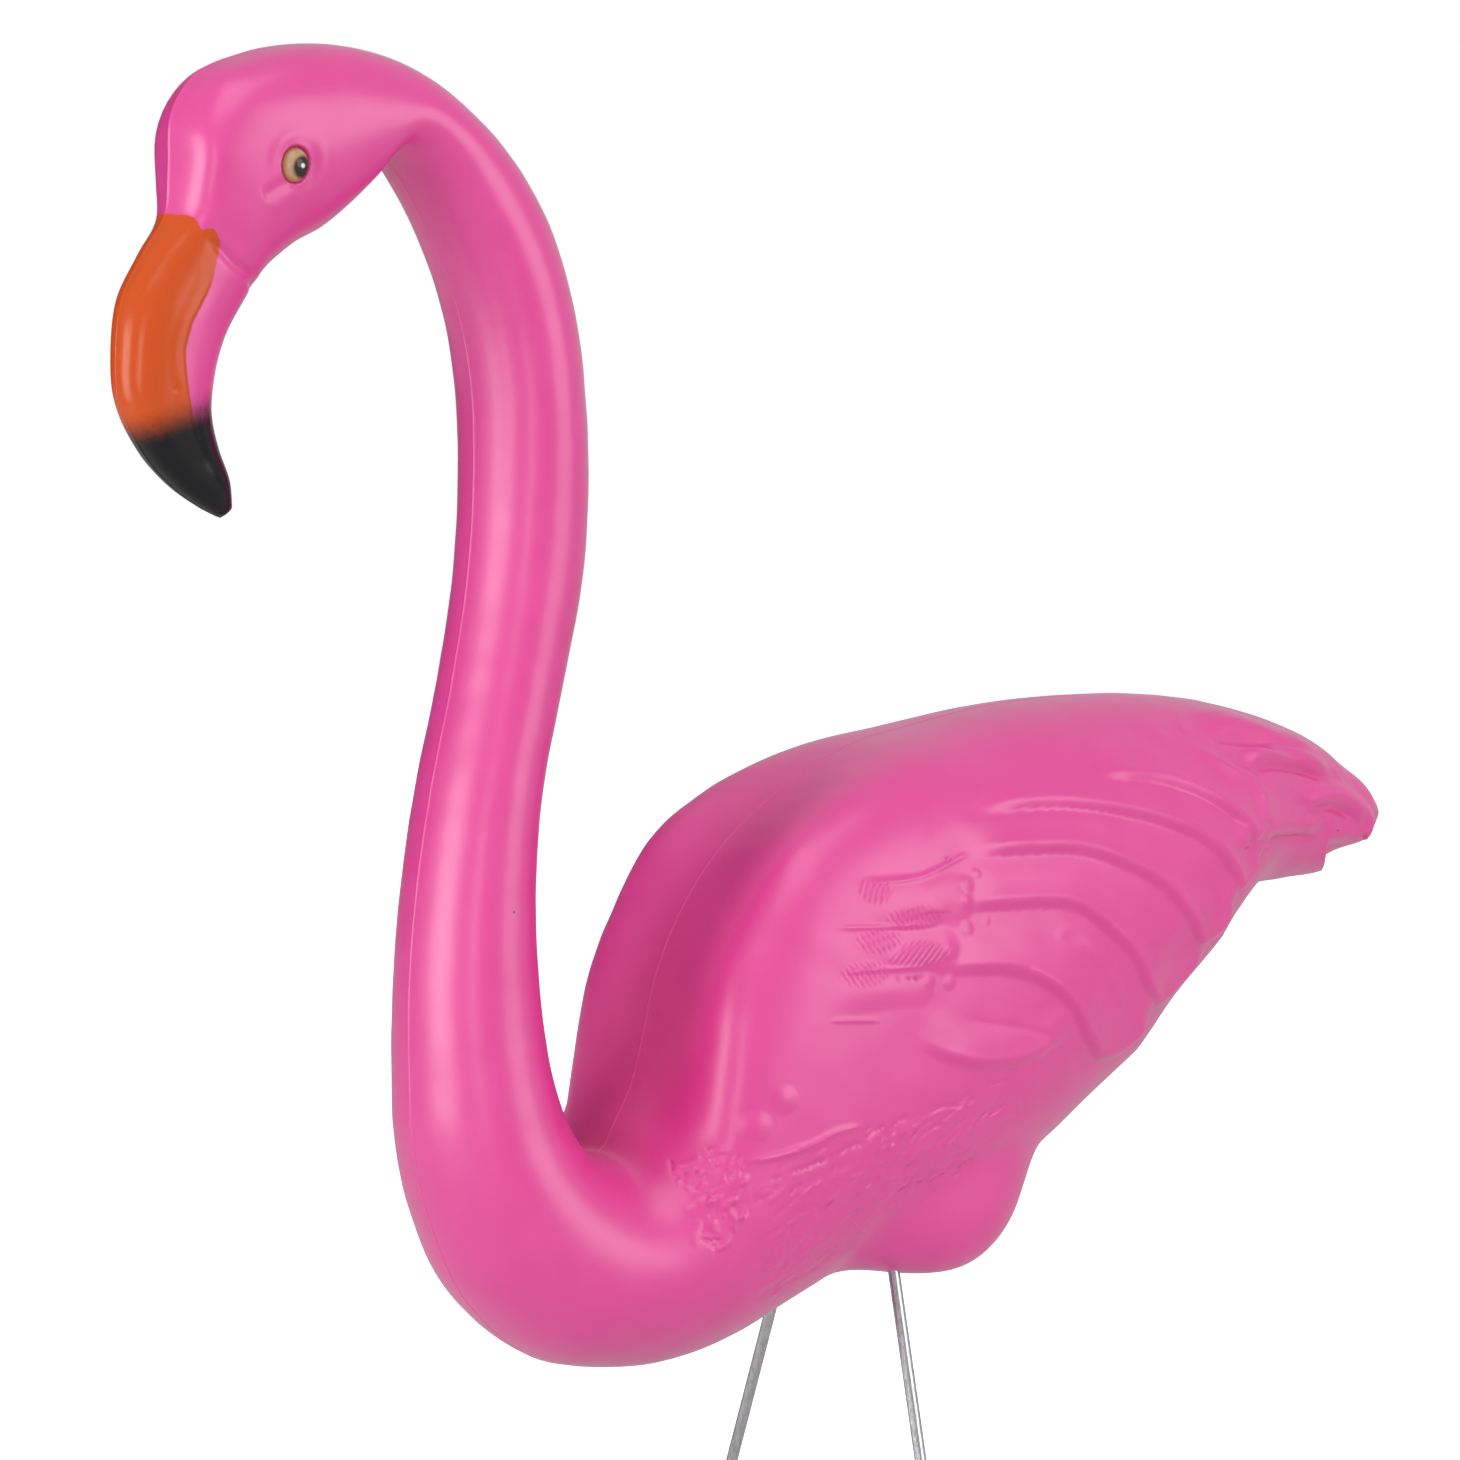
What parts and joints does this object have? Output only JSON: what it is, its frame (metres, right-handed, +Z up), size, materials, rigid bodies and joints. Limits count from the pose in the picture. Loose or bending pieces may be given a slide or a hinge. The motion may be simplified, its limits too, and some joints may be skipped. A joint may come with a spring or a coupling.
{
  "type": "flamingo lawn ornament",
  "caption": "Hollow-moulded pink plastic flamingo with a curved neck, a hooked bill and relief wings, held above the lawn by splayed steel wire legs.",
  "frame": {"origin": "on the ground, midway between the two legs, where both are cut off level with the lawn", "axes": "+Z up; the bird faces -X and its left side is -Y"},
  "size_m": [0.7066, 0.2872, 0.8597],
  "materials": {
    "pink_plastic": "semi-gloss moulded plastic, with a sprayed orange and black bill and painted eyes",
    "steel_wire": "bright drawn wire, slightly dull"
  },
  "bodies": {
    "root": {"bird": "pink_plastic", "leg_left": "steel_wire", "leg_right": "steel_wire"}
  },
  "joints": []
}
